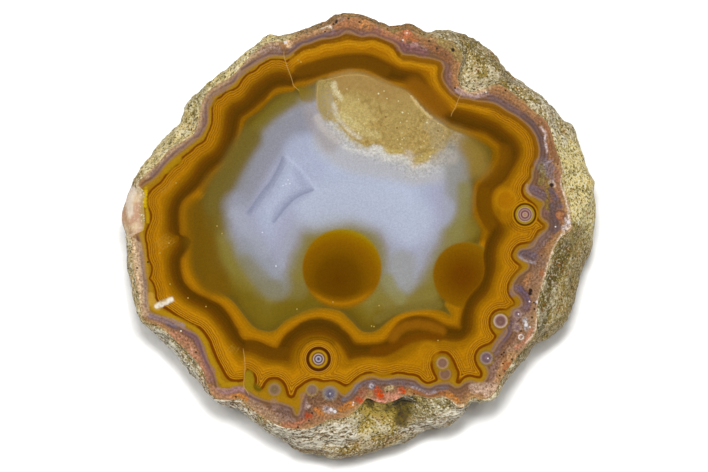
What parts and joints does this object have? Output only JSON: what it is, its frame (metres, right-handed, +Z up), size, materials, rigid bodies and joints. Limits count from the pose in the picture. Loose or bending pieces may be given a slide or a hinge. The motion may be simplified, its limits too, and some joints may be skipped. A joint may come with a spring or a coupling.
{
  "type": "banded agate half nodule",
  "caption": "Half of a rough agate nodule, sawn through and polished on the sawn face, with a rough lumpy skin round its sides and back; lies on its worn back.",
  "frame": {"origin": "under the middle of the stone's plan, on the surface that it lies on", "axes": "+Z up, out of the polished face; +Y towards the top of the stone as the picture shows it, +X towards its right"},
  "size_m": [0.0951, 0.0888, 0.028],
  "materials": {
    "agate": "banded chalcedony, polished to a gloss on the sawn face, with a rough weathered skin elsewhere"
  },
  "bodies": {
    "root": {"agate": "agate"}
  },
  "joints": []
}
